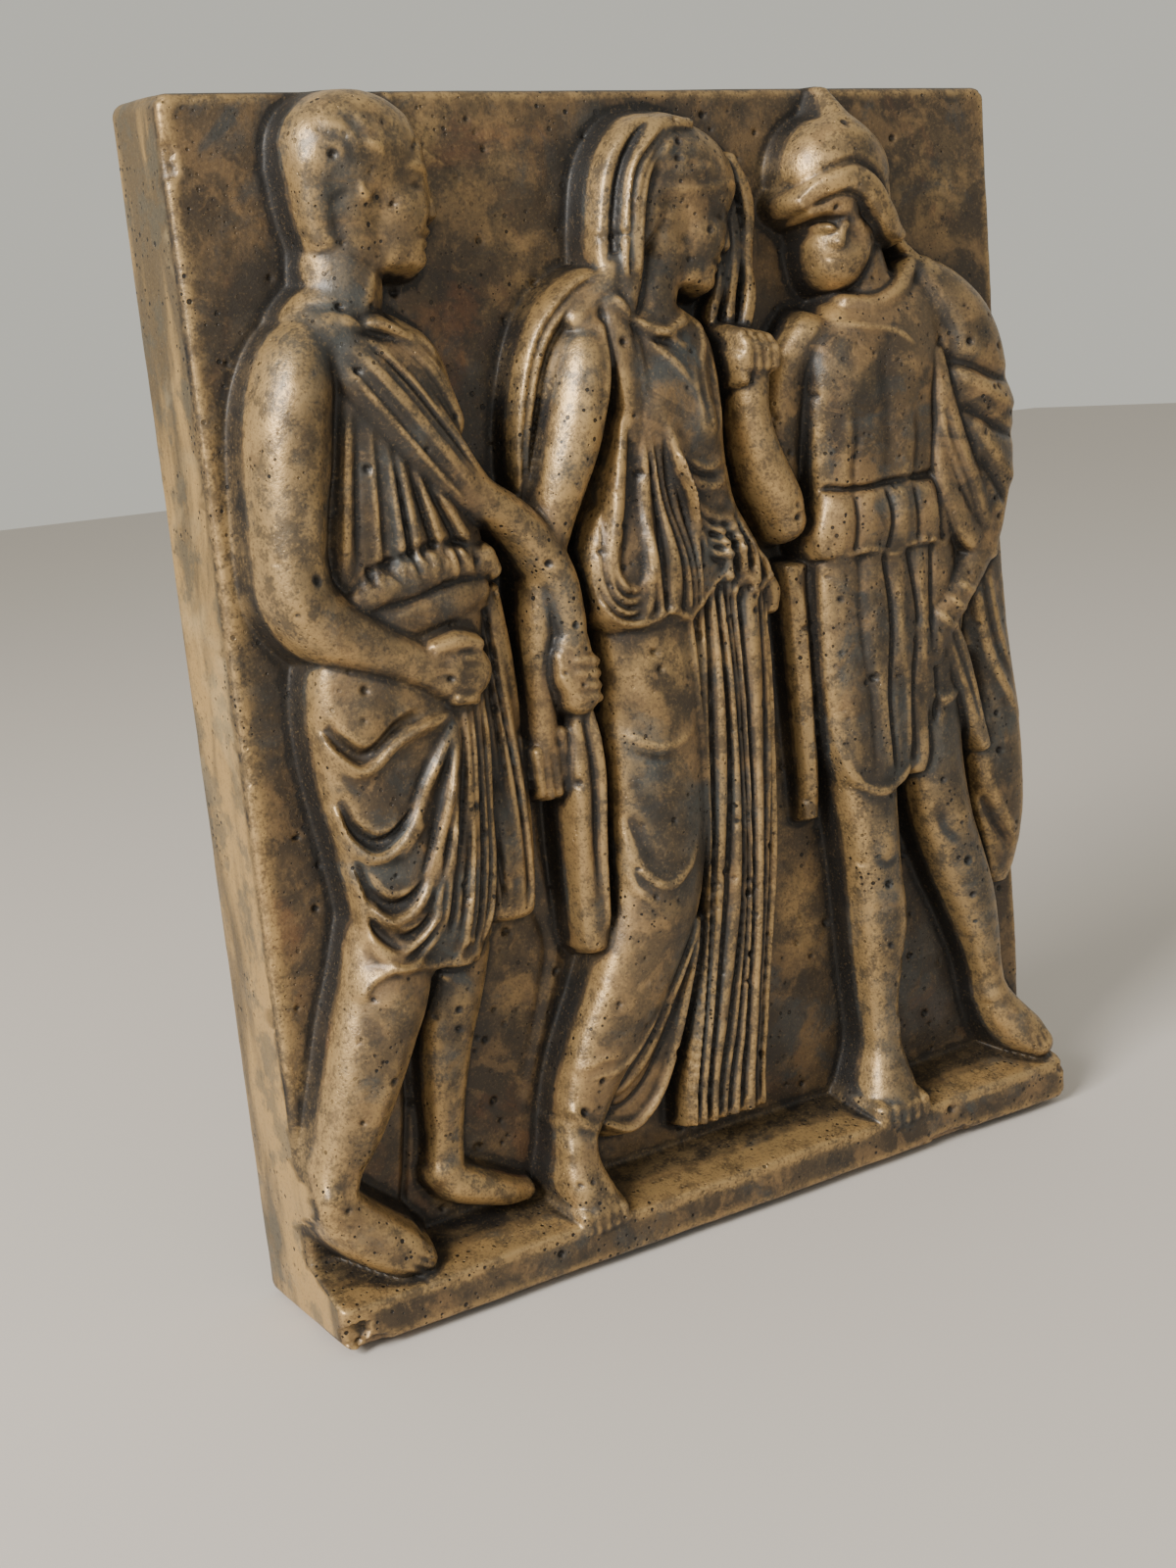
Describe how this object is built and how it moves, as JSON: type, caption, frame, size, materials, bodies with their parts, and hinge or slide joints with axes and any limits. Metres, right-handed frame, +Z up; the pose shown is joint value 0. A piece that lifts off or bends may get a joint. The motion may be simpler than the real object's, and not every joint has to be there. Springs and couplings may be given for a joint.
{
  "type": "relief plaque",
  "caption": "Upright rectangular cast wall plaque: draped classical figures in high relief stand on a projecting ledge, with a flat back for mounting.",
  "frame": {"origin": "centre of the flat back face, where the plaque meets the wall", "axes": "+Z up the plaque, +X to the right as seen from the front, +Y out of the back into the wall; the figures face -Y"},
  "size_m": [0.205, 0.0425, 0.253],
  "materials": {
    "patinated_cast": "satin bronze-brown patina over a plaster cast, darker in the hollows and ochre on the high parts"
  },
  "bodies": {
    "root": {"relief_plaque": "patinated_cast"}
  },
  "joints": []
}
